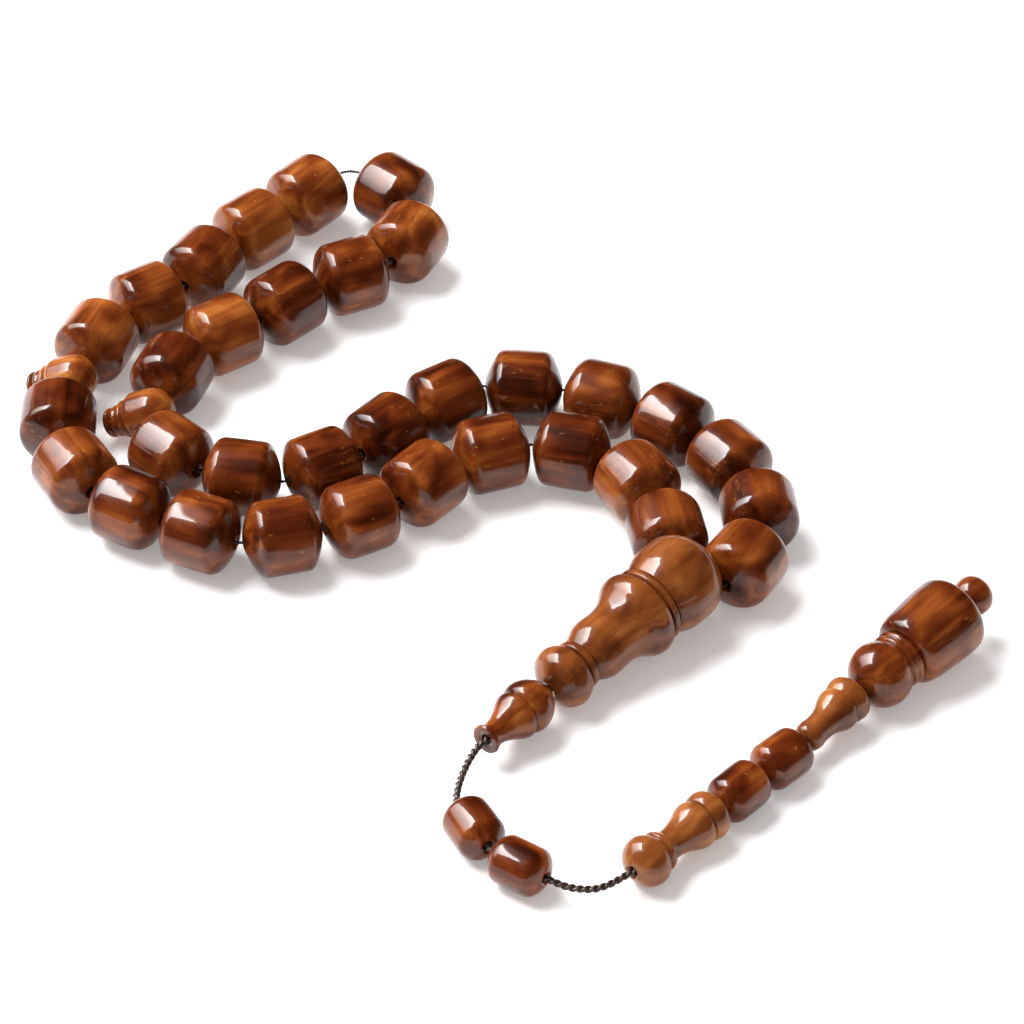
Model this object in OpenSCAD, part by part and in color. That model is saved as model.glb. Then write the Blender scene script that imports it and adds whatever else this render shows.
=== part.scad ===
// Misbaha: a closed strand of turned prayer beads with two divider stops, a leader
// bead and a tassel of turned beads on a braided cord, lying loosely on a table.
// Millimetres, +Z up. The origin is on the table, under the middle of the object.

/* [Main beads] */
// Diameter of a main bead
bead_d = 13.2; // [12.8:0.1:13.3]
// Length of a main bead along its bore
bead_l = 13.4; // [13:0.1:13.6]
// Length of the nearly conical dome at each end of a main bead
dome_l = 2.4; // [2.2:0.1:2.8]
// How far the eased shoulder reaches along the band
shoulder_l = 1.2; // [0.6:0.1:1.4]
// Diameter of the string bore through the beads and stops
bore_d = 1.6; // [1.2:0.1:2]

/* [Stops] */
// Diameter of a stop's drum
stop_d = 8.4; // [7.8:0.1:8.6]
// How far a stop's tail dips towards the table, in degrees
stop_dip = 28; // [20:1:28]

/* [Tassel] */
// Diameter of a small cord bead
cord_bead_d = 8.4; // [7.8:0.1:8.5]
// Diameter of the braid bore through the tassel pieces
braid_bore_d = 2; // [1.7:0.1:2.2]

/* [String and braid] */
// Diameter of the string that carries the main beads
string_d = 0.6; // [0.4:0.1:0.7]
// Diameter of the braided tassel cord
braid_d = 1.3; // [1:0.1:1.5]
// Gap on the bore line between neighbouring pieces
gap = 0.3; // [0.2:0.05:0.4]

/* [Hidden] */
$fn = 64;
sides = 8;
past = 1;

// Directions in degrees of the pieces threaded on the strand, from one side of the
// leader right round to the other. A stop follows each of the first two groups.
strand_start = [37.5, -22.5];
heading = [
    60, 95, 125, 140, 160, 175, 215, 230, 210, 170, 135, 75,
    70, 35, 45, 25, 65, 135, 230, 225, 240, 215, 250, 250,
    270, 300, 330, 335, 375, 389, 410, 380, 345, 300, 280];
threaded = len(heading);
group = 11;
stop_index = [group, 2 * group + 1];
// Which side of the strand each stop's tail points to: 1 is left, -1 is right
tail_side = [1, -1];

// Tassel pieces: the bore mouth nearest the leader, [direction, upward tilt], length
leader_at = [34, -19.1, 9.65];
leader_dir = [-133, -6.5];
leader_l = 38.8;
cover_at = [7, -48.5, 5.5];
cover_dir = [-130, 0];
cover_l = 14.6;
cord_bead_l = 10.2;
cord_bead_at = [
    [-6.5, -74.6, 4.2], [-0.9, -85, 4.2], [35.2, -74.3, 4.2], [42.1, -66.4, 4.2]];
cord_bead_dir = [[-62, 0], [-35, 0], [49, 0], [46, 0]];
spindle_at = [21, -89.6, 4.4];
spindle_dir = [47, 0];
spindle_l = 20.6;
vase_at = [49.4, -58.8, 4.4];
vase_dir = [52, 3];
vase_l = 14.2;
finial_at = [59, -47.7, 5.4];
finial_dir = [47, 5];
finial_l = 25.8;
end_ball_at = [76.8, -28.6, 7.7];
end_ball_dir = finial_dir;
end_ball_l = 5.6;

// Free stretches of the braid: after the knot cover, and before the spindle
free_braid_1 = [
    [-3.3, -60.8, 5.4], [-4.2, -62.3, 5.2], [-5.1, -64.2, 4.9], [-5.9, -66.4, 4.6],
    [-6.5, -68.7, 4.4], [-6.9, -71, 4.2], [-6.9, -73.2, 4.2]];
free_braid_2 = [
    [8.6, -91.3, 3.9], [10.2, -91.8, 3.5], [12, -92, 3.1], [13.8, -92, 2.9],
    [15.6, -91.8, 2.9], [17.3, -91.4, 3.3], [18.8, -90.8, 3.8], [20.1, -90.1, 4.2]];

// Inside the leader: where the strand's two slanted bores meet, and the knot
head_s = 7;
leader_bore_d = 2.8;
knot_s = 24;
knot_l = 2.4;
knot_d = 2.2;
string_spread = 0.4;
// Inside the end ball: a blind bore with the braid's end knot
end_bore_d = 2.6;
end_bore_l = 3.8;
end_knot_s = 1.6;
end_knot_l = 1.8;

function two_digits(n) = str(n < 10 ? "0" : "", n);
BEADS = [for (i = [1 : 3 * group]) str("bead_", two_digits(i))];
CORD_BEADS = [for (i = [1 : len(cord_bead_at)]) str("cord_bead_", i)];

// ---- profiles, as [distance along the bore, radius] ----
// Quarter ellipse that leaves a steeply and reaches b level
function rise(a, b) = [for (t = [0 : 15 : 90])
    [b[0] + (a[0] - b[0]) * cos(t), a[1] + (b[1] - a[1]) * sin(t)]];

// Straight line from a to b that bulges outwards by h
function bow(a, b, h) = let (n = [a[1] - b[1], b[0] - a[0]] / norm(b - a))
    [for (t = [0 : 0.2 : 1]) a + (b - a) * t + n * 4 * h * t * (1 - t)];

function mirrored(end, l) = concat(
    end, [for (i = [len(end) - 1 : -1 : 0]) [l - end[i][0], end[i][1]]]);

rim_r = 1.3;
main_dome = bow([0, rim_r], [dome_l, bead_d / 2], 0.25);
// The corner of dome and band, eased from the dome's last point but one
shoulder = let (a = main_dome[4], c = main_dome[5], b = c + [shoulder_l, 0])
    [for (t = [0 : 0.2 : 1]) a * (1 - t) * (1 - t) + c * 2 * t * (1 - t) + b * t * t];
bead_outline = mirrored(concat([for (i = [0 : 3]) main_dome[i]], shoulder), bead_l);
cord_bead_outline = mirrored(
    rise([0, rim_r], [1.8, cord_bead_d / 2]), cord_bead_l);

stop_outline = concat(
    rise([-4.8, 0], [-0.6, stop_d / 2]),
    [[3.2, stop_d / 2], [3.9, 3.9], [4.3, 3.2], [4.8, 2.6], [5.2, 3], [5.6, 2.9],
     [6, 2.2], [7.1, 1.8], [7.5, 2.1], [7.9, 1.9], [8.3, 2.2], [8.6, 1.8], [8.6, 0]]);

leader_outline = concat(
    rise([0, 0], [6.2, 7.9]), bow([9.5, 7.8], [12.8, 6.5], 0.2),
    [[13, 6.3], [13.2, 6.7], [13.5, 6.9], [14.1, 6.9], [14.4, 6.7], [14.6, 6.3],
     [15, 6.3]],
    bow([15.3, 7.1], [19.8, 6.6], 0.6), [[21.5, 5.75], [23.5, 5.4], [26, 5.3]],
    [[28, 4.95], [29.5, 4.5], [30.4, 3.9], [30.7, 4.2], [31, 4.4], [31.6, 4.4],
     [31.9, 4.2], [32.1, 3.9]],
    bow([32.3, 4.4], [37.8, 3.7], 1.5), [[38.4, 2.8], [leader_l, 1.9]]);

cover_outline = concat(
    rise([0, 1.4], [4, 4.6]), [[4.8, 4.5], [5.4, 4.2], [6, 3.4], [6.5, 3.9]],
    bow([6.5, 3.9], [9.6, 3.5], 0.45),
    [[10.5, 2.8], [11.3, 2.4], [12.2, 2.2], [13.5, 2.3], [14.3, 2.5], [cover_l, 2]]);

spindle_outline = concat(
    rise([0, 1.3], [3.7, 4.4]), [[4.5, 4.2], [5.4, 3.7], [6, 3], [6.5, 3.5], [7.1, 3.4],
     [8, 2.7], [9.2, 2.65], [10.5, 2.8], [12, 3.2], [13.5, 3.8], [14.8, 4.1],
     [15.7, 3.9], [16.2, 3.2], [16.7, 3.9]],
    bow([16.9, 4], [19.4, 3.8], 0.3), [[20.2, 2.8], [spindle_l, 1.4]]);

vase_outline = concat(
    [[0, 1.4], [0.5, 2.2], [1.2, 2.5], [3, 2.6], [5, 2.5], [6.2, 2.75], [7.4, 3.25],
     [8.6, 3.7], [9.6, 3.8], [10.4, 3.4], [11.2, 3.9]],
    bow([11.4, 4], [13.2, 3.8], 0.2), [[13.8, 3], [vase_l, 1.6]]);

finial_outline = concat(
    rise([0, 1.5], [5, 5.7]), [[6.2, 5.6], [7.4, 5.3], [8.3, 4.4], [8.6, 4.8],
     [8.9, 5], [9.2, 4.9], [9.5, 4.6], [9.8, 4.9], [10.1, 5.1], [10.4, 5],
     [10.8, 4.4], [11.3, 5.1], [12, 5.8]],
    bow([12.8, 6.2], [22.5, 7], 0.35), [[23.5, 6.6], [24.4, 5.8], [25.2, 4.2],
     [finial_l, 1.6]]);

end_ball_outline = concat(
    rise([0, 1.6], [2.8, 3.5]),
    [for (t = [15 : 15 : 90]) [2.8 + (end_ball_l - 2.8) * sin(t), 3.5 * cos(t)]]);

// ---- directions and places ----
function unit(v) = v / norm(v);
function flat(angle) = [cos(angle), sin(angle), 0];
function towards(dir) = flat(dir[0]) * cos(dir[1]) + [0, 0, sin(dir[1])];
function spot(at, dir, s) = at + s * towards(dir);

// A piece is turned along +Z, then laid at its place with +Z along dir
module lay(at, dir) {
    translate(at)
        rotate([0, 90 - dir[1], dir[0]])
            children();
}

module turned(outline, bore = 0) {
    rotate_extrude()
        polygon(concat(
            [[bore / 2, outline[0][0]]],
            [for (p = outline) [p[1], p[0]]],
            [[bore / 2, outline[len(outline) - 1][0]]]));
}

// ---- the strand ----
axis_z = bead_d / 2;
function is_stop(k) = k == stop_index[0] || k == stop_index[1];
function piece_l(k) = is_stop(k) ? stop_d : bead_l;
function bend(k) = abs(heading[k + 1] - heading[k]);
// Bare string on each side of the bend after piece k, which keeps the domes apart
function leg(k) = gap / 2 + (is_stop(k) || is_stop(k + 1)
    ? stop_d / 4 * tan(bend(k) / 2)
    : max(0, max([for (p = main_dome) p[1] * tan(bend(k) / 2) - p[0]])));
function corner(k, mouth) = mouth + (piece_l(k) + leg(k)) * flat(heading[k]);
// The mouth of each piece from k on, where the string enters it
function mouths_from(k, mouth) = k == threaded - 1 ? [mouth] : concat(
    [mouth], mouths_from(k + 1, corner(k, mouth) + leg(k) * flat(heading[k + 1])));
mouths = mouths_from(0, [strand_start[0], strand_start[1], axis_z]);
strand_end = mouths[threaded - 1] + bead_l * flat(heading[threaded - 1]);
bead_index = [for (k = [0 : threaded - 1]) if (!is_stop(k)) k];

// ---- string and braid ----
function tangent(path, i) = unit(
    (i > 0 ? unit(path[i] - path[i - 1]) : [0, 0, 0])
    + (i < len(path) - 1 ? unit(path[i + 1] - path[i]) : [0, 0, 0]));
function ring(path, i, r) =
    let (t = tangent(path, i), side = unit(cross([0, 0, 1], t)), up = cross(t, side))
    [for (k = [0 : sides - 1])
        path[i] + r * (cos(360 * k / sides) * side + sin(360 * k / sides) * up)];

module tube(path, d) {
    last = len(path) - 1;
    polyhedron(
        points = [for (i = [0 : last]) each ring(path, i, d / 2)],
        faces = concat(
            [[for (k = [0 : sides - 1]) k]],
            [for (i = [0 : last - 1], k = [0 : sides - 1])
                let (a = i * sides + k, b = i * sides + (k + 1) % sides)
                each [[a, a + sides, b], [b, a + sides, b + sides]]],
            [[for (k = [sides - 1 : -1 : 0]) last * sides + k]]));
}

// The string's way round the bend after piece k: one point at a slight bend, its two
// ends at a sharper one, and a rounded curve where more bare string shows
function round_bend(k) = let (
        c = corner(k, mouths[k]), a = c - leg(k) * flat(heading[k]), b = mouths[k + 1])
    leg(k) < 0.3 ? [c]
    : [for (t = leg(k) < 1.5 ? [0, 1] : [0 : 0.25 : 1])
        a * (1 - t) * (1 - t) + c * 2 * t * (1 - t) + b * t * t];

head = spot(leader_at, leader_dir, head_s);
// One end of the string inside the leader, from its knot out to a bead's mouth
function string_end(mouth) = let (
        away = mouth - head, axis = towards(leader_dir),
        off = string_spread * unit(away - (away * axis) * axis))
    [spot(leader_at, leader_dir, knot_s) + off,
     spot(leader_at, leader_dir, head_s + 2) + off, head + 2.5 * unit(away), mouth];
string_start = string_end(mouths[0]);
string_finish = string_end(strand_end);
string_path = concat(
    string_start, [for (k = [0 : threaded - 2]) each round_bend(k)],
    [for (i = [len(string_finish) - 1 : -1 : 0]) string_finish[i]]);

function through(at, dir, l) = [at, spot(at, dir, l)];
function through_cord_bead(i) = through(cord_bead_at[i], cord_bead_dir[i], cord_bead_l);
braid_path = concat(
    [spot(leader_at, leader_dir, knot_s + knot_l), spot(leader_at, leader_dir, leader_l)],
    through(cover_at, cover_dir, cover_l), free_braid_1, through_cord_bead(0),
    through_cord_bead(1), free_braid_2, through(spindle_at, spindle_dir, spindle_l),
    through_cord_bead(2), through_cord_bead(3), through(vase_at, vase_dir, vase_l),
    through(finial_at, finial_dir, finial_l),
    through(end_ball_at, end_ball_dir, end_knot_s));

// ---- sub-parts ----
module leader() {
    color([0.72, 0.27, 0.05]) difference() {
        lay(leader_at, leader_dir) turned(leader_outline);
        lay(head, leader_dir) cylinder(d = leader_bore_d, h = leader_l);
        for (mouth = [mouths[0], strand_end]) {
            reach = mouth - head;
            lay(head, [atan2(reach[1], reach[0]), asin(reach[2] / norm(reach))])
                cylinder(d = bore_d, h = norm(reach) + past);
        }
    }
}

module loop_string() {
    color([0.05, 0.04, 0.04]) tube(string_path, string_d);
}

module leader_knot() {
    color([0.1, 0.07, 0.05])
        lay(spot(leader_at, leader_dir, knot_s), leader_dir)
            cylinder(d = knot_d, h = knot_l);
}

module stop(i) {
    k = stop_index[i];
    color([0.7, 0.25, 0.05])
        lay(mouths[k] + stop_d / 2 * flat(heading[k]),
            [heading[k] + 90 * tail_side[i], -stop_dip])
            difference() {
                turned(stop_outline);
                rotate([90, 0, 0])
                    cylinder(d = bore_d, h = stop_d + 2 * past, center = true);
            }
}

module bead(i) {
    k = bead_index[i];
    color([0.66, 0.22, 0.04])
        lay(mouths[k], [heading[k], 0]) turned(bead_outline, bore_d);
}

module tassel_cord() {
    color([0.1, 0.07, 0.05]) tube(braid_path, braid_d);
}

module knot_cover() {
    color([0.7, 0.25, 0.05])
        lay(cover_at, cover_dir) turned(cover_outline, braid_bore_d);
}

module cord_bead(i) {
    color([0.6, 0.18, 0.04])
        lay(cord_bead_at[i], cord_bead_dir[i]) turned(cord_bead_outline, braid_bore_d);
}

module spindle() {
    color([0.7, 0.25, 0.05])
        lay(spindle_at, spindle_dir) turned(spindle_outline, braid_bore_d);
}

module vase_bead() {
    color([0.72, 0.27, 0.05])
        lay(vase_at, vase_dir) turned(vase_outline, braid_bore_d);
}

module finial() {
    color([0.6, 0.18, 0.04])
        lay(finial_at, finial_dir) turned(finial_outline, braid_bore_d);
}

module end_ball() {
    color([0.6, 0.18, 0.04]) lay(end_ball_at, end_ball_dir) difference() {
        turned(end_ball_outline);
        translate([0, 0, -past]) cylinder(d = end_bore_d, h = end_bore_l + past);
    }
}

module end_knot() {
    color([0.1, 0.07, 0.05])
        lay(spot(end_ball_at, end_ball_dir, end_knot_s), end_ball_dir)
            cylinder(d = end_bore_d, h = end_knot_l);
}

leader();
loop_string();
leader_knot();
stop(0);  // stop_1
stop(1);  // stop_2
for (i = [0 : len(BEADS) - 1])
    bead(i);
tassel_cord();
knot_cover();
spindle();
vase_bead();
finial();
end_ball();
end_knot();
for (i = [0 : len(CORD_BEADS) - 1])
    cord_bead(i);
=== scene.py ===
"""Misbaha: a closed strand of polished prayer beads with two stops, a turned leader bead
and a tassel on a braided cord. Lengths in this file are millimetres until they are placed."""
import math
import random

import bpy
import numpy as np
from mathutils import Matrix, Vector


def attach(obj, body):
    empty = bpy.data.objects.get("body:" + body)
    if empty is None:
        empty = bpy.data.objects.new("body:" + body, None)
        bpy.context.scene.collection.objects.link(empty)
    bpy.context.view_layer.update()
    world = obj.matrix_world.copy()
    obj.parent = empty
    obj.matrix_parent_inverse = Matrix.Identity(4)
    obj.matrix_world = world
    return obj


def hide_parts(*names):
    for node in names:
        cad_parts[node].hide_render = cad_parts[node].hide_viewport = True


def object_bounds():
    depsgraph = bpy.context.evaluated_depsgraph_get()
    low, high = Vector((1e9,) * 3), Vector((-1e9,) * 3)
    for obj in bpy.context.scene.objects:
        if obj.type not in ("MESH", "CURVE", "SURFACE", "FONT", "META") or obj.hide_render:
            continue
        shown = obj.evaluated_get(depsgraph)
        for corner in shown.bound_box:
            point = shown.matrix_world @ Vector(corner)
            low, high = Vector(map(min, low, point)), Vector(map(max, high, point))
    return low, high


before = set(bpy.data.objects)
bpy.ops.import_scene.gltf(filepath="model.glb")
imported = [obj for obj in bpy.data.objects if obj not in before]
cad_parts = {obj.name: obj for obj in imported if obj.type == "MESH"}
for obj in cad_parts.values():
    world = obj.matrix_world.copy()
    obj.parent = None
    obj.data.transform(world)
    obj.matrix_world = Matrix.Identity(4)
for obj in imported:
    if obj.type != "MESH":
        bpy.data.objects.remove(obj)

cad_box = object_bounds()
ROOT = "leader_and_cords"
MM = 0.001

# ---- camera: 40 degrees above the table, looking along +Y ----
AIM = Vector((2, 4.5, 0)) * MM
DISTANCE = 1025.7 * MM
ELEVATION = math.radians(39.97)
camera = bpy.data.objects.new("camera", bpy.data.cameras.new("camera"))
camera.data.lens = 210.94
camera.data.sensor_width = 36
camera.data.clip_start = 0.05
camera.data.clip_end = 30
camera.location = AIM + DISTANCE * Vector((0, -math.cos(ELEVATION), math.sin(ELEVATION)))
camera.rotation_euler = (math.pi / 2 - ELEVATION, 0, 0)
bpy.context.scene.collection.objects.link(camera)
bpy.context.scene.camera = camera
bpy.context.scene.view_settings.view_transform = "Standard"
bpy.context.scene.view_settings.look = "None"


# ---- the CAD's layout ----
BEAD_D, BEAD_L, DOME_L, BORE_D, RIM_R = 13.2, 13.4, 2.4, 1.6, 1.3
STOP_D, STOP_DIP, GAP = 8.4, 28, 0.3
STRING_D, STRING_STEP = 0.6, 0.25  # step: the length of one ring of the cord's mesh
BRAID_D, BRAID_STEP = 1.3, 0.15
TASSEL_BORE_R, TASSEL_SINK = 0.85, 0.3
HEADING = [  # of each bead and stop, in degrees, along the strand
    60, 95, 125, 140, 160, 175, 215, 230, 210, 170, 135, 75,
    70, 35, 45, 25, 65, 135, 230, 225, 240, 215, 250, 250,
    270, 300, 330, 335, 375, 389, 410, 380, 345, 300, 280]
STOPS = {11: 1, 23: -1}  # place on the strand: the side that the tail points to
# Each turned piece: start of its axis, (heading, tilt) in degrees, length.
LEADER = ((34, -19.1, 9.65), (-133, -6.5), 38.8)
COVER = ((7, -48.5, 5.5), (-130, 0), 14.6)
CORD_BEADS = [
    ((-6.5, -74.6, 4.2), (-62, 0), 10.2), ((-0.9, -85, 4.2), (-35, 0), 10.2),
    ((35.2, -74.3, 4.2), (49, 0), 10.2), ((42.1, -66.4, 4.2), (46, 0), 10.2)]
SPINDLE = ((21, -89.6, 4.4), (47, 0), 20.6)
VASE = ((49.4, -58.8, 4.4), (52, 3), 14.2)
FINIAL = ((59, -47.7, 5.4), (47, 5), 25.8)
END_BALL = ((76.8, -28.6, 7.7), (47, 5), 5.6)
FREE_BRAID_1 = [  # the braid's bare stretches
    (-3.3, -60.8, 5.4), (-4.2, -62.3, 5.2), (-5.1, -64.2, 4.9), (-5.9, -66.4, 4.6),
    (-6.5, -68.7, 4.4), (-6.9, -71, 4.2), (-6.9, -73.2, 4.2)]
FREE_BRAID_2 = [
    (8.6, -91.3, 3.9), (10.2, -91.8, 3.5), (12, -92, 3.1), (13.8, -92, 2.9),
    (15.6, -91.8, 2.9), (17.3, -91.4, 3.3), (18.8, -90.8, 3.8), (20.1, -90.1, 4.2)]

# Along the leader: where its slanted bores meet, and its knot. SPREAD is how far each end
# of the string lies from the axis.
HEAD_S, KNOT_S, KNOT_L, SPREAD = 7, 24, 2.4, 0.4
END_KNOT_S, END_KNOT_L = 1.6, 1.8  # along the end ball


def flat(angle):
    """The level direction at that heading."""
    a = math.radians(angle)
    return Vector((math.cos(a), math.sin(a), 0))


def towards(direction):
    """The direction at that (heading, tilt)."""
    tilt = math.radians(direction[1])
    return flat(direction[0]) * math.cos(tilt) + Vector((0, 0, math.sin(tilt)))


def spot(piece, s):
    """The point s along a turned piece's axis."""
    return Vector(piece[0]) + s * towards(piece[1])


def through(piece):
    return [spot(piece, 0), spot(piece, piece[2])]


def bow(a, b, h, n=5):
    """Points from a to b, as (s, r), that bulge outwards by h."""
    a, b = Vector(a), Vector(b)
    out = Vector((a.y - b.y, b.x - a.x)).normalized()
    return [tuple(a.lerp(b, t) + out * 4 * h * t * (1 - t)) for t in np.linspace(0, 1, n + 1)]


DOME = bow((0, RIM_R), (DOME_L, BEAD_D / 2), 0.25)


def leg(k):
    """Bare string on each side of the bend after piece k."""
    half = math.tan(math.radians(abs(HEADING[k + 1] - HEADING[k]) / 2))
    if k in STOPS or k + 1 in STOPS:
        return GAP / 2 + STOP_D / 4 * half
    return GAP / 2 + max(0, max(r * half - s for s, r in DOME))


def length_of(k):
    return STOP_D if k in STOPS else BEAD_L


mouths = [Vector((37.5, -22.5, BEAD_D / 2))]
corners = []
for k in range(len(HEADING) - 1):
    corners.append(mouths[k] + (length_of(k) + leg(k)) * flat(HEADING[k]))
    mouths.append(corners[k] + leg(k) * flat(HEADING[k + 1]))
strand_end = mouths[-1] + BEAD_L * flat(HEADING[-1])
bead_places = [k for k in range(len(HEADING)) if k not in STOPS]


# ---- string and braid ----
def string_end(mouth):
    """The string from the leader's knot to a bead's mouth. Its third point is in the
    slanted bore."""
    head, axis = spot(LEADER, HEAD_S), towards(LEADER[1])
    away = mouth - head
    off = SPREAD * (away - away.dot(axis) * axis).normalized()
    return [spot(LEADER, KNOT_S) + off, spot(LEADER, HEAD_S + 2) + off,
            head + 2.5 * away.normalized(), mouth]


string_path = string_end(mouths[0])
for k, c in enumerate(corners):
    if leg(k) < 0.3:  # too short to bend
        string_path.append(c)
        continue
    a, b = c - leg(k) * flat(HEADING[k]), mouths[k + 1]
    for t in (0, 1) if leg(k) < 1.5 else np.linspace(0, 1, 9):  # a long bend is an arc
        string_path.append(a * (1 - t) ** 2 + c * 2 * t * (1 - t) + b * t * t)
string_path += string_end(strand_end)[::-1]

braid_path = (
    [spot(LEADER, KNOT_S + KNOT_L), spot(LEADER, LEADER[2])] + through(COVER)
    + [Vector(p) for p in FREE_BRAID_1] + through(CORD_BEADS[0]) + through(CORD_BEADS[1])
    + [Vector(p) for p in FREE_BRAID_2] + through(SPINDLE) + through(CORD_BEADS[2])
    + through(CORD_BEADS[3]) + through(VASE) + through(FINIAL)
    + [spot(END_BALL, 0), spot(END_BALL, END_KNOT_S)])


def even(path, step):
    """The same line with its corners eased, as points about step apart, and their
    distances along it."""
    points = np.array([tuple(p) for p in path])
    along = np.concatenate([[0], np.cumsum(np.linalg.norm(np.diff(points, axis=0), axis=1))])
    s = np.linspace(0, along[-1], int(along[-1] / step) + 1)
    fine = np.stack([np.interp(s, along, points[:, i]) for i in range(3)], 1)
    for _ in range(3):
        fine[1:-1] = (fine[:-2] + 2 * fine[1:-1] + fine[2:]) / 4
    return fine, s


def placed(name, data):
    obj = bpy.data.objects.new(name, data)
    bpy.context.scene.collection.objects.link(obj)
    return obj


def mesh_of(name, verts, faces):
    mesh = bpy.data.meshes.new(name)
    mesh.from_pydata([tuple(v) for v in verts], [], faces)
    mesh.validate()
    mesh.shade_smooth()
    return mesh


def tube_faces(rings, sides, start):
    faces = []
    for i in range(rings - 1):
        for j in range(sides):
            a, b = start + i * sides + j, start + i * sides + (j + 1) % sides
            faces.append((a, b, b + sides, a + sides))
    faces.append(tuple(start + j for j in reversed(range(sides))))
    faces.append(tuple(start + (rings - 1) * sides + j for j in range(sides)))
    return faces


def twisted(name, path, strands, strand_r, offset, pitch, step, sides=10):
    """A cord of strands laid round each other, offset from the middle and one turn to
    each pitch, as one mesh. Its attribute fibre holds the distance along, the angle round
    its strand, and the strand's number."""
    line, s = even(path, step)
    t = np.gradient(line, axis=0)
    t /= np.linalg.norm(t, axis=1)[:, None]
    side = np.cross(t, (0, 0, 1.0))
    side /= np.linalg.norm(side, axis=1)[:, None]
    up = np.cross(side, t)
    verts, faces, fibre = [], [], []
    for n in range(strands):
        turn = 2 * math.pi * (s / pitch + n / strands)
        centre = line + offset * (np.cos(turn)[:, None] * side + np.sin(turn)[:, None] * up)
        st = np.gradient(centre, axis=0)
        st /= np.linalg.norm(st, axis=1)[:, None]
        out = np.cos(turn)[:, None] * side + np.sin(turn)[:, None] * up
        out -= (out * st).sum(1)[:, None] * st
        out /= np.linalg.norm(out, axis=1)[:, None]
        across = np.cross(st, out)
        start = len(verts)
        for i in range(len(s)):
            for j in range(sides):
                a = 2 * math.pi * j / sides
                verts.append(
                    centre[i] + strand_r * (math.cos(a) * out[i] + math.sin(a) * across[i]))
                fibre.append((s[i], j / sides, n))
        faces += tube_faces(len(s), sides, start)
    mesh = mesh_of(name, np.array(verts) * MM, faces)
    mesh.attributes.new("fibre", "FLOAT_VECTOR", "POINT").data.foreach_set(
        "vector", np.array(fibre, np.float32).ravel())
    return placed(name, mesh)


def own(obj, body, slot, *nodes):
    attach(obj, body)
    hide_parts(*nodes)
    return obj


string = own(twisted("string", string_path, 2, 0.17, 0.13, 1.1, STRING_STEP, 8),
             ROOT, "string", "loop_string")
[p * MM for p in even(string_path, STRING_STEP)[0]]
braid = own(twisted("braid", braid_path, 2, 0.35, 0.30, 2.5, BRAID_STEP),
            ROOT, "braid", "tassel_cord")
[p * MM for p in even(braid_path, BRAID_STEP)[0]]


def trefoil(name, piece, s, length, width, *nodes):
    """A small knot that fills the cylinder of that length and width along a piece's bore."""
    centre, axis = spot(piece, s + length / 2), towards(piece[1])
    side = axis.cross(Vector((0, 0, 1))).normalized()
    up = side.cross(axis)
    cord_r, steps = 0.36, 72
    wide, long = (width / 2 - cord_r) / 3, length / 2 - cord_r
    path = []
    for i in range(steps + 1):
        t = 2 * math.pi * i / steps
        path.append(
            centre + wide * (math.sin(t) + 2 * math.sin(2 * t)) * side
            + wide * (math.cos(t) - 2 * math.cos(2 * t)) * up - long * math.sin(3 * t) * axis)
    return own(twisted(name, path, 1, cord_r, 0, 3, 0.1), ROOT, "braid", *nodes)


knots = [trefoil("leader_knot_tied", LEADER, KNOT_S, KNOT_L, 2.2, "leader_knot"),
         trefoil("end_knot_tied", END_BALL, END_KNOT_S, END_KNOT_L, 2.6, "end_knot")]


# ---- turned pieces ----
def rise(a, b, n=14):
    """Quarter ellipse that leaves a steeply and reaches b level."""
    return [(b[0] + (a[0] - b[0]) * math.cos(t), a[1] + (b[1] - a[1]) * math.sin(t))
            for t in np.linspace(0, math.pi / 2, n)]


def eased(a, corner, b, n=8):
    """A rounded corner, from a to b."""
    a, corner, b = (np.array(p, float) for p in (a, corner, b))
    return [tuple(a * (1 - t) ** 2 + corner * 2 * t * (1 - t) + b * t * t)
            for t in np.linspace(0, 1, n)]


def flowing(points, n=5):
    """A smooth line through the points, n steps to each."""
    p = [np.array(q, float) for q in points]
    p = [2 * p[0] - p[1]] + p + [2 * p[-1] - p[-2]]
    out = []
    for i in range(1, len(p) - 2):
        for t in np.linspace(0, 1, n, endpoint=False):
            out.append(tuple(0.5 * (
                2 * p[i] + (p[i + 1] - p[i - 1]) * t
                + (2 * p[i - 1] - 5 * p[i] + 4 * p[i + 1] - p[i + 2]) * t ** 2
                + (3 * p[i] - 3 * p[i + 1] + p[i + 2] - p[i - 1]) * t ** 3)))
    return out + [tuple(p[-2])]


def soften(chain, cut):
    """Rounds each corner of the line by up to cut on both sides."""
    out = [chain[0]]
    for a, p, b in zip(chain, chain[1:], chain[2:]):
        a, p, b = np.array(a, float), np.array(p, float), np.array(b, float)
        la, lb = np.linalg.norm(p - a), np.linalg.norm(b - p)
        if la < 1e-6 or lb < 1e-6:
            continue
        bend = math.acos(max(-1, min(1, float((p - a) @ (b - p)) / (la * lb))))
        if bend < 0.2:  # already smooth
            out.append(tuple(p))
            continue
        start = p + (a - p) * min(cut / la, 0.4)
        end = p + (b - p) * min(cut / lb, 0.4)
        for t in (0, 0.2, 0.4, 0.6, 0.8, 1):
            out.append(tuple(start * (1 - t) ** 2 + p * 2 * t * (1 - t) + end * t * t))
    return out + [chain[-1]]


def bored(outside, bore_r, sink=0.5):
    """The outline closed by a bore with a slightly countersunk mouth at each end."""
    (s0, r0), (s1, r1) = outside[0], outside[-1]
    inside = [(s1, r1), (s1 - sink, bore_r), (s0 + sink, bore_r), (s0, r0)]
    return soften(outside[-3:-1] + inside + outside[1:3], 0.12)[2:-2] + outside[1:-1]


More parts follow.
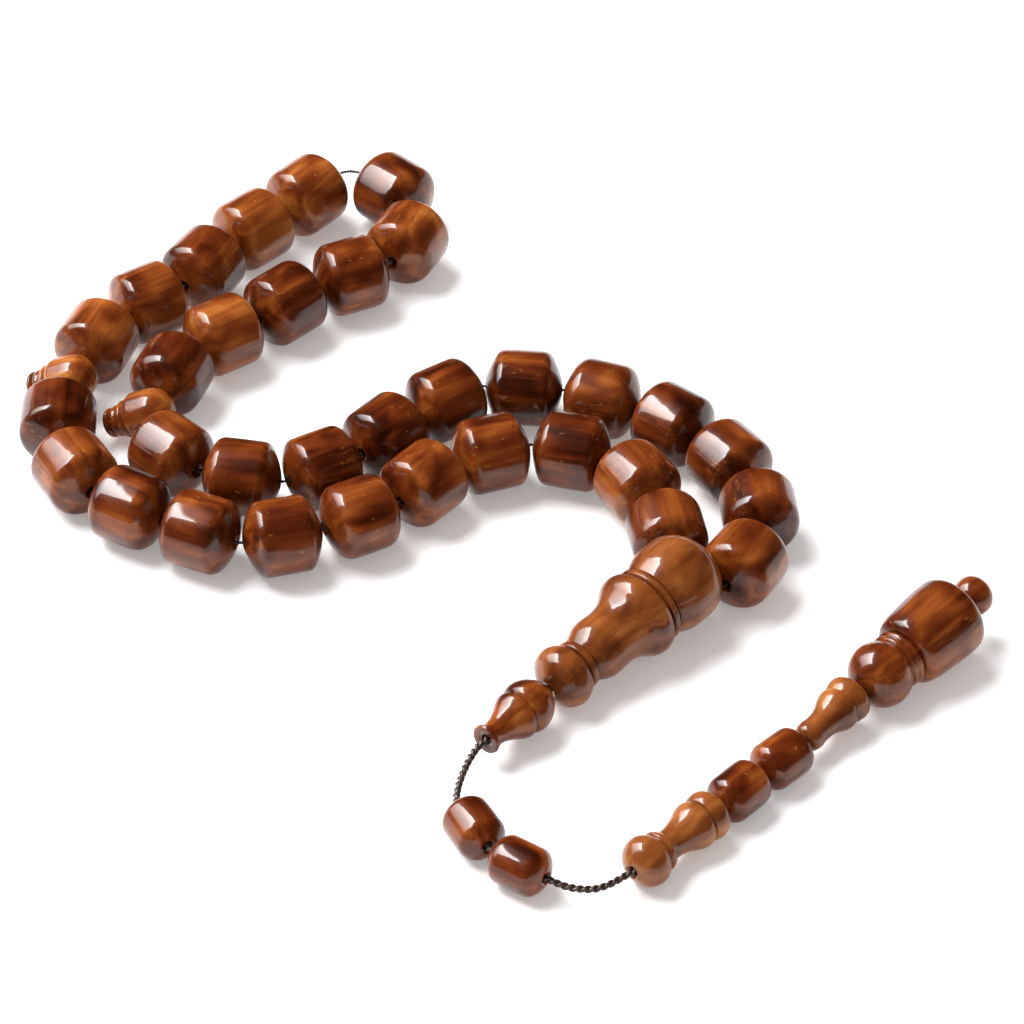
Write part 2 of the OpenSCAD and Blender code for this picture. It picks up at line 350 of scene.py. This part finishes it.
def lathe_mesh(name, chain, around=112):
    """Turns a chain of (s, r) about its bore, +Z. The chain is closed unless it starts
    and ends on the axis."""
    solid = chain[0][1] == 0
    rings, verts, faces = [], [], []
    for s, r in chain:
        if r == 0:
            rings.append([len(verts)] * around)
            verts.append((0, 0, s))
            continue
        rings.append(list(range(len(verts), len(verts) + around)))
        verts += [
            (r * math.cos(2 * math.pi * j / around), r * math.sin(2 * math.pi * j / around), s)
            for j in range(around)]
    for i in range(len(rings) if not solid else len(rings) - 1):
        a, b = rings[i], rings[(i + 1) % len(rings)]
        for j in range(around):
            face = []
            for v in (a[j], a[(j + 1) % around], b[(j + 1) % around], b[j]):
                if v not in face:
                    face.append(v)
            if len(face) > 2:
                faces.append(face)
    return mesh_of(name, [Vector(v) * MM for v in verts], faces)


def laid(at, direction):
    """Where a piece turned along +Z lies: at a point, with +Z along the direction."""
    heading, tilt = direction
    return (Matrix.Translation(Vector(at) * MM)
            @ Matrix.Rotation(math.radians(heading), 4, "Z")
            @ Matrix.Rotation(math.radians(90 - tilt), 4, "Y"))


def drilled(mesh, holes):
    """mesh with a cylinder of radius r cut from a to b, for each (a, b, r) in its own
    frame."""
    sides = 32
    obj = placed("blank", mesh)
    for a, b, r in holes:
        run = b - a
        turn = run.to_track_quat("Z", "Y").to_matrix().to_4x4()
        verts = []
        for i in range(2):
            for j in range(sides):
                t = 2 * math.pi * j / sides
                verts.append((Matrix.Translation(a) @ turn) @ Vector(
                    (r * math.cos(t), r * math.sin(t), run.length * i)) * MM)
        tool = placed("tool", mesh_of("tool", verts, tube_faces(2, sides, 0)))
        cut = obj.modifiers.new("cut", "BOOLEAN")
        cut.object, cut.operation, cut.solver = tool, "DIFFERENCE", "EXACT"
        bpy.context.view_layer.update()
        made = bpy.data.meshes.new_from_object(
            obj.evaluated_get(bpy.context.evaluated_depsgraph_get()))
        obj.modifiers.clear()
        obj.data = made
        bpy.data.objects.remove(tool)
    mesh = obj.data
    bpy.data.objects.remove(obj)
    return mesh


rng = random.Random(33)


def piece(name, mesh, at, direction, body, slot, material, tone, *nodes):
    """A turned piece in its place, with its own grain: the attribute grain is the place
    in the blank that it was turned from, in millimetres, and tone makes it lighter."""
    mesh.name = name
    mesh.shade_smooth()
    co = np.empty(len(mesh.vertices) * 3, np.float32)
    mesh.vertices.foreach_get("co", co)
    co = co.reshape(-1, 3) / MM
    roll = rng.uniform(0, 2 * math.pi)
    c, s = math.cos(roll), math.sin(roll)
    grain = np.stack([c * co[:, 0] - s * co[:, 1], s * co[:, 0] + c * co[:, 1], co[:, 2]], 1)
    grain += [rng.uniform(-400, 400) for _ in range(3)]
    mesh.attributes.new("grain", "FLOAT_VECTOR", "POINT").data.foreach_set(
        "vector", grain.astype(np.float32).ravel())
    mesh.attributes.new("tone", "FLOAT", "POINT").data.foreach_set(
        "value", np.full(len(mesh.vertices), tone, np.float32))
    mesh.materials.clear()
    mesh.materials.append(material)
    mesh.transform(laid(at, direction))
    return own(placed(name, mesh), body, slot, *nodes)


DARK_LINE, GOLD_LINE, FLECK = (0.035, 0.006, 0.002), (0.60, 0.24, 0.05), (0.55, 0.22, 0.05)


def amber(name, stops):
    """Polished amber-brown: marbled bands and fibres along the bore under a clear gloss."""
    material = bpy.data.materials.new(name)
    material.use_nodes = True
    tree = material.node_tree
    tree.nodes.clear()
    link = tree.links.new

    def node(kind, **values):
        n = tree.nodes.new(kind)
        for key, value in values.items():
            if key in n.inputs:
                n.inputs[key].default_value = value
            else:
                setattr(n, key, value)
        return n

    def scaled(factors):
        n = node("ShaderNodeVectorMath", operation="MULTIPLY")
        link(grain.outputs["Vector"], n.inputs[0])
        n.inputs[1].default_value = factors
        return n.outputs[0]

    def noise(factors, detail, rough, distortion=0.0):
        n = node("ShaderNodeTexNoise", Scale=1.0, Detail=detail, Roughness=rough,
                 Distortion=distortion)
        link(scaled(factors), n.inputs["Vector"])
        return n.outputs["Fac"]

    def math_node(operation, a, b, clamp=False):
        n = node("ShaderNodeMath", operation=operation, use_clamp=clamp)
        for i, x in enumerate((a, b)):
            if isinstance(x, (int, float)):
                n.inputs[i].default_value = x
            else:
                link(x, n.inputs[i])
        return n.outputs[0]

    def ramp(value, points):
        n = node("ShaderNodeValToRGB")
        e = n.color_ramp.elements
        while len(e) < len(points):
            e.new(0.5)
        for i, (at, colour) in enumerate(points):
            e[i].position = at
            e[i].color = (*colour, 1)
        link(value, n.inputs[0])
        return n.outputs["Color"]

    grain = node("ShaderNodeAttribute", attribute_name="grain")
    tone = node("ShaderNodeAttribute", attribute_name="tone")
    bands = noise((0.30, 0.30, 0.045), 2.0, 0.45, 0.9)
    fibres = noise((1.9, 1.9, 0.06), 4.0, 0.6, 0.2)
    cloud = noise((0.15, 0.15, 0.11), 1.0, 0.4, 0.8)
    mixed = math_node("ADD", math_node("MULTIPLY", bands, 0.42),
                      math_node("MULTIPLY", cloud, 0.42))
    mixed = math_node("ADD", mixed, 0.085)
    mixed = math_node("ADD", mixed,
                      math_node("MULTIPLY", math_node("SUBTRACT", fibres, 0.5), 0.11))
    mixed = math_node("ADD", mixed, tone.outputs["Fac"])
    colour = ramp(mixed, stops)

    # thin lines along the grain, in some places only
    def thin_lines(factors, distortion, width, where):
        away = math_node("SUBTRACT", noise(factors, 1.0, 0.5, distortion), 0.5)
        line = ramp(math_node("ABSOLUTE", away, 0), [(0.0, (1, 1, 1)), (width, (0, 0, 0))])
        patch = ramp(noise((0.16, 0.16, 0.07), 1.0, 0.5),
                     [(where, (0, 0, 0)), (where + 0.08, (1, 1, 1))])
        return math_node("MULTIPLY", line, patch)

    def over(below, amount, strength, paint):
        n = node("ShaderNodeMix", data_type="RGBA", blend_type="MIX")
        link(math_node("MULTIPLY", amount, strength), n.inputs[0])
        link(below, n.inputs[6])
        n.inputs[7].default_value = (*paint, 1)
        return n.outputs[2]

    colour = over(colour, thin_lines((0.62, 0.62, 0.035), 0.5, 0.012, 0.50), 0.65, DARK_LINE)
    colour = over(colour, thin_lines((0.45, 0.45, 0.06), 1.8, 0.012, 0.56), 0.32, GOLD_LINE)
    flecks = ramp(noise((1.7, 1.7, 0.9), 0.0, 0.5), [(0.80, (0, 0, 0)), (0.84, (1, 1, 1))])
    colour = over(colour, flecks, 0.28, FLECK)

    # fine polishing scratches round the bore, and slight waviness left by the hand tool
    scratch = noise((1.2, 1.2, 9.0), 3.0, 0.6)
    wavy = noise((0.22, 0.22, 0.30), 1.0, 0.5)
    height = math_node("ADD", math_node("MULTIPLY", scratch, 0.06), wavy)
    bump = node("ShaderNodeBump", Strength=0.10, Distance=0.0006)
    link(height, bump.inputs["Height"])
    coat_bump = node("ShaderNodeBump", Strength=0.06, Distance=0.0006)
    link(height, coat_bump.inputs["Height"])

    shader = node("ShaderNodeBsdfPrincipled", **{
        "IOR": 1.54, "Roughness": 0.3, "Specular IOR Level": 0.1,
        "Coat Weight": 0.5, "Coat Roughness": 0.06, "Coat IOR": 1.54,
        "Subsurface Weight": 0.12, "Subsurface Radius": (1.0, 0.35, 0.12),
        "Subsurface Scale": 0.002})
    link(colour, shader.inputs["Base Color"])
    link(bump.outputs["Normal"], shader.inputs["Normal"])
    link(coat_bump.outputs["Normal"], shader.inputs["Coat Normal"])
    out = node("ShaderNodeOutputMaterial")
    link(shader.outputs[0], out.inputs["Surface"])
    return material


BROWN = [(0.32, (0.018, 0.0026, 0.0006)), (0.43, (0.068, 0.010, 0.0016)),
         (0.53, (0.148, 0.028, 0.0044)), (0.63, (0.275, 0.070, 0.012)),
         (0.76, (0.450, 0.160, 0.032))]
bead_amber = amber("bead_amber", BROWN)
light_amber = amber("light_amber", [
    (0.34, (0.040, 0.0075, 0.0018)), (0.46, (0.105, 0.023, 0.0045)),
    (0.60, (0.235, 0.064, 0.0135)), (0.78, (0.440, 0.165, 0.042))])
dark_amber = amber("dark_amber", [
    (at, (r * 0.85, g * 0.75, b * 0.75)) for at, (r, g, b) in BROWN])


def bead_outline(length, radius, dome, edge):
    """A bead's outside: domes and a band, whose shoulders are eased by edge on both
    sides. The band swells by a tenth of a millimetre."""
    corner = np.array((dome, radius - 0.1))
    side = [p for p in bow((0, RIM_R), corner, 0.25, 24)
            if np.linalg.norm(corner - p) > edge]
    half = (side[:-1:3] + eased(side[-1], corner, corner + (edge, 0.06), 12)
            + [(length * 0.42, radius - 0.005)])
    return half + [(length - s, r) for s, r in reversed(half)]


for i, k in enumerate(bead_places):
    n = f"bead_{i + 1:02d}"
    chain = bored(bead_outline(BEAD_L, BEAD_D / 2, DOME_L, rng.uniform(0.8, 1.5)), BORE_D / 2)
    piece("turned_" + n, lathe_mesh(n, chain), mouths[k], (HEADING[k], 0), n, "bead_wood",
          bead_amber, rng.uniform(-0.06, 0.07), n)

for i, place in enumerate(CORD_BEADS):
    n = f"cord_bead_{i + 1}"
    outside = bead_outline(place[2], 4.2, 1.8, 0.7)
    piece("turned_" + n, lathe_mesh(n, bored(outside, TASSEL_BORE_R, TASSEL_SINK)), place[0],
          place[1], n, "dark_wood", dark_amber, rng.uniform(-0.02, 0.07), n)

# The outlines are (s, r) along the piece. A stop's s is 0 at its cross bore.
stop_outline = (
    rise((-4.8, 0), (-0.6, 4.2)) + [(-0.4, 4.2)] + eased((2.1, 4.2), (2.9, 4.15), (3.4, 3.5))
    + [(3.7, 2.8), (3.8, 2.8)] + flowing([(4.0, 3.05), (4.5, 3.3), (5.1, 3.1)])
    + [(5.3, 2.4), (5.4, 2.35)] + flowing([(5.65, 2.6), (6.15, 2.75), (6.7, 2.6)])
    + [(6.9, 2.05), (7.0, 2.05)]
    + flowing([(7.15, 2.35), (7.6, 2.6), (8.1, 2.45), (8.45, 2.0)]) + [(8.6, 1.6), (8.6, 0)])
for i, (k, side) in enumerate(STOPS.items()):
    n = f"stop_{i + 1}"
    mesh = drilled(lathe_mesh(n, soften(stop_outline, 0.15)),
                   [(Vector((0, -6, 0)), Vector((0, 6, 0)), BORE_D / 2)])
    piece("turned_" + n, mesh, mouths[k] + STOP_D / 2 * flat(HEADING[k]),
          (HEADING[k] + 90 * side, -STOP_DIP), n, "turned_wood", bead_amber, 0.11, n)

leader_outline = (
    rise((0, 0), (6.0, 7.83), 20) + eased((8.8, 7.81), (9.8, 7.76), (10.7, 7.42))
    + [(12.85, 6.5), (12.95, 6.1), (13.15, 6.1)]
    + flowing([(13.2, 6.6), (13.5, 6.88), (14.1, 6.88), (14.4, 6.6)])
    + [(14.5, 6.1), (14.85, 6.1)]
    + flowing([(14.95, 6.7), (15.4, 7.3), (16.4, 7.62), (17.3, 7.6), (18.4, 7.2), (19.6, 6.4),
               (21.2, 5.6), (22.8, 5.3), (24.4, 5.3), (26.2, 5.4), (27.8, 5.15), (29.3, 4.5),
               (30.3, 3.9)])
    + [(30.35, 3.75), (30.5, 3.75)]
    + flowing([(30.55, 4.1), (30.8, 4.38), (31.6, 4.38), (31.9, 4.1)])
    + [(31.95, 3.75), (32.15, 3.75)]
    + flowing([(32.3, 4.3), (32.9, 5.0), (34.6, 5.55), (36.4, 5.05), (37.6, 3.8), (38.4, 2.7),
               (38.8, 1.9)])
    + [(38.8, 0)])
to_leader = laid(LEADER[0], LEADER[1]).inverted()
head = Vector((0, 0, HEAD_S))
holes = [(head, Vector((0, 0, 45)), 1.4)]  # the axial bore, out past the tip
for mouth in (mouths[0], strand_end):
    out = (to_leader @ (mouth * MM)) / MM - head
    holes.append((head, head + out * 1.15, BORE_D / 2))
piece("turned_leader", drilled(lathe_mesh("leader", soften(leader_outline, 0.15)), holes),
      LEADER[0], LEADER[1], ROOT, "light_wood", light_amber, 0.04, "leader")

cover_outline = (
    flowing([(-0.9, 1.3), (0, 2.5), (0.8, 3.3), (2.2, 4.2), (3.9, 4.6), (5.2, 4.3), (5.85, 3.7)])
    + [(5.95, 3.35), (6.1, 3.35)]
    + flowing([(6.2, 3.9), (6.5, 4.15), (7.1, 4.15), (8.1, 3.75), (9.2, 3.15), (10.3, 2.65),
               (11.5, 2.25), (12.6, 2.15), (13.5, 2.35), (14.2, 2.65)])
    + [(14.6, 2.5), (14.6, 1.5)])
spindle_outline = (
    flowing([(0, 1.3), (0.7, 2.7), (2, 3.95), (3.7, 4.37), (5, 3.95), (5.95, 3.1)])
    + flowing([(6.0, 3.1), (6.4, 3.5), (7.0, 3.4), (7.2, 3.15)])
    + flowing([(7.3, 3.05), (8, 2.7), (9.2, 2.6), (10.5, 2.75), (12, 3.15), (13.5, 3.8),
               (14.8, 4.1), (15.7, 3.9), (16.1, 3.3)])
    + flowing([(16.2, 3.3), (16.6, 3.9), (18.0, 4.25), (19.2, 3.9), (20.2, 2.7), (20.6, 1.4)]))
vase_outline = (
    flowing([(0, 1.4), (0.4, 2.1), (1.1, 2.48), (2.2, 2.6)])
    + flowing([(2.3, 2.5), (3.6, 2.45), (5, 2.5), (6.2, 2.75), (7.4, 3.25), (8.6, 3.7),
               (9.6, 3.75), (10.3, 3.45)])
    + flowing([(10.4, 3.5), (11.2, 3.9), (12.4, 4.1), (13.2, 3.8), (13.8, 3.0), (14.2, 1.6)]))
finial_outline = (
    flowing([(0, 1.5), (1, 3.4), (2.6, 4.95), (5, 5.68), (7.2, 5.2), (8.2, 4.4)])
    + flowing([(8.3, 4.5), (8.6, 4.85), (9.1, 4.95), (9.4, 4.7)])
    + flowing([(9.45, 4.7), (9.8, 4.98), (10.3, 5.05), (10.7, 4.5)])
    + flowing([(10.8, 4.3), (11.1, 5.2), (11.7, 5.95), (12.5, 6.3), (14, 6.58), (17, 6.85),
               (20, 7.02), (22.4, 7.0)], 4)
    + eased((22.6, 6.98), (23.9, 6.85), (24.5, 5.8)) + [(25.3, 4.0), (25.8, 1.6)])
for n, outline, place, slot, material, tone in (
        ("knot_cover", cover_outline, COVER, "turned_wood", bead_amber, 0.0),
        ("spindle", spindle_outline, SPINDLE, "light_wood", light_amber, 0.09),
        ("vase_bead", vase_outline, VASE, "light_wood", light_amber, 0.05),
        ("finial", finial_outline, FINIAL, "dark_wood", bead_amber, 0.02)):
    chain = bored(soften(outline, 0.12), TASSEL_BORE_R, TASSEL_SINK)
    piece("turned_" + n, lathe_mesh(n, chain), place[0], place[1], n, slot, material, tone, n)

# the end ball, from the floor of its blind bore round to its far side
HALF, BALL_R, HOLE_R = END_BALL[2] / 2, 3.47, 1.6
ball_outline = (
    [(3.8, 0), (3.8, 1.3), (0.4, 1.3), (0, HOLE_R)]
    + [(HALF - HALF * math.cos(t), HOLE_R + (BALL_R - HOLE_R) * math.sin(t))
       for t in np.linspace(0.12, math.pi / 2, 12)]
    + [(HALF + HALF * math.sin(t), BALL_R * math.cos(t))
       for t in np.linspace(0.12, math.pi / 2 - 0.06, 12)]
    + [(END_BALL[2], 0)])
piece("turned_end_ball", lathe_mesh("end_ball", soften(ball_outline, 0.1)), END_BALL[0],
      END_BALL[1], ROOT, "dark_wood", dark_amber, 0.08, "end_ball")


# ---- cord materials ----
def cord_material(name, colours, lines, rough):
    """Twisted thread: fine fibres in two colours, with lines of them along, round and per
    strand."""
    material = bpy.data.materials.new(name)
    material.use_nodes = True
    tree = material.node_tree
    shader = tree.nodes["Principled BSDF"]
    fibre = tree.nodes.new("ShaderNodeAttribute")
    fibre.attribute_name = "fibre"
    apart = tree.nodes.new("ShaderNodeVectorMath")
    apart.operation = "MULTIPLY"
    apart.inputs[1].default_value = lines
    texture = tree.nodes.new("ShaderNodeTexNoise")
    texture.inputs["Scale"].default_value = 1.0
    texture.inputs["Detail"].default_value = 3.0
    ramp = tree.nodes.new("ShaderNodeValToRGB")
    ramp.color_ramp.elements[0].position, ramp.color_ramp.elements[1].position = 0.42, 0.72
    ramp.color_ramp.elements[0].color = (*colours[0], 1)
    ramp.color_ramp.elements[1].color = (*colours[1], 1)
    bump = tree.nodes.new("ShaderNodeBump")
    bump.inputs["Strength"].default_value = 0.6
    bump.inputs["Distance"].default_value = 0.00015
    link = tree.links.new
    link(fibre.outputs["Vector"], apart.inputs[0])
    link(apart.outputs[0], texture.inputs["Vector"])
    link(texture.outputs["Fac"], ramp.inputs[0])
    link(texture.outputs["Fac"], bump.inputs["Height"])
    link(ramp.outputs["Color"], shader.inputs["Base Color"])
    link(bump.outputs["Normal"], shader.inputs["Normal"])
    shader.inputs["Roughness"].default_value = rough
    shader.inputs["Sheen Weight"].default_value = 0.05
    shader.inputs["Sheen Roughness"].default_value = 0.4
    return material


braid_material = cord_material("waxed_braid", ((0.012, 0.005, 0.003), (0.105, 0.050, 0.028)),
                               (1.6, 9.0, 5.0), 0.3)
string_material = cord_material("black_string", ((0.012, 0.010, 0.009), (0.05, 0.04, 0.035)),
                                (2.5, 6.0, 5.0), 0.5)
for obj in [braid] + knots:
    obj.data.materials.append(braid_material)
string.data.materials.append(string_material)


# ---- floor and light ----
floor_mesh = mesh_of("floor", [(-3, -3, 0), (3, -3, 0), (3, 3, 0), (-3, 3, 0)], [(0, 1, 2, 3)])
floor = placed("floor", floor_mesh)
floor.location.z = min(0, cad_box[0][2]) - 0.00002
paper = bpy.data.materials.new("white_paper")
paper.use_nodes = True
for socket, value in (
        ("Base Color", (0.90, 0.90, 0.905, 1)), ("Roughness", 0.6),
        ("Emission Color", (1, 0.97, 0.95, 1)), ("Emission Strength", 0.26)):
    paper.node_tree.nodes["Principled BSDF"].inputs[socket].default_value = value
floor_mesh.materials.append(paper)

world = bpy.data.worlds.new("studio")
bpy.context.scene.world = world
world.use_nodes = True
world.node_tree.nodes["Background"].inputs["Color"].default_value = (1.0, 0.99, 0.98, 1)
world.node_tree.nodes["Background"].inputs["Strength"].default_value = 0.42
world.cycles_visibility.glossy = False


def panel(name, direction, distance, width, height, glow, glossy):
    """A soft rectangular light at that direction and distance from the object, facing it,
    glow times as bright as white paper. It makes either the highlights or the shading."""
    data = bpy.data.lights.new(name, "AREA")
    data.shape = "RECTANGLE"
    data.size, data.size_y, data.energy = width, height, glow * math.pi * width * height
    obj = placed(name, data)
    d = Vector(direction).normalized()
    obj.location = d * distance
    obj.rotation_euler = (-d).to_track_quat("-Z", "Y").to_euler()
    obj.visible_glossy, obj.visible_diffuse = glossy, not glossy
    return data


def fading(light):
    """Makes a panel fade from its bright upper edge to a dim lower one, as daylight
    through a net curtain does."""
    light.use_nodes = True
    tree = light.node_tree
    place = tree.nodes.new("ShaderNodeNewGeometry")
    apart = tree.nodes.new("ShaderNodeSeparateXYZ")
    fade = tree.nodes.new("ShaderNodeValToRGB")
    e = fade.color_ramp.elements
    e[0].position, e[0].color = 0.0, (0.08, 0.08, 0.08, 1)
    e[1].position, e[1].color = 1.0, (1, 1, 1, 1)
    middle = e.new(0.62)
    middle.color = (0.42, 0.42, 0.42, 1)
    tree.links.new(place.outputs["Parametric"], apart.inputs[0])
    tree.links.new(apart.outputs["Y"], fade.inputs[0])
    tree.links.new(fade.outputs["Color"], tree.nodes["Emission"].inputs["Strength"])


fading(panel("window", (-0.74, 0.22, 0.64), 1.0, 0.80, 0.85, 33, True))
panel("soft_key", (-0.48, 0.30, 0.82), 2.2, 1.6, 1.4, 14, False)
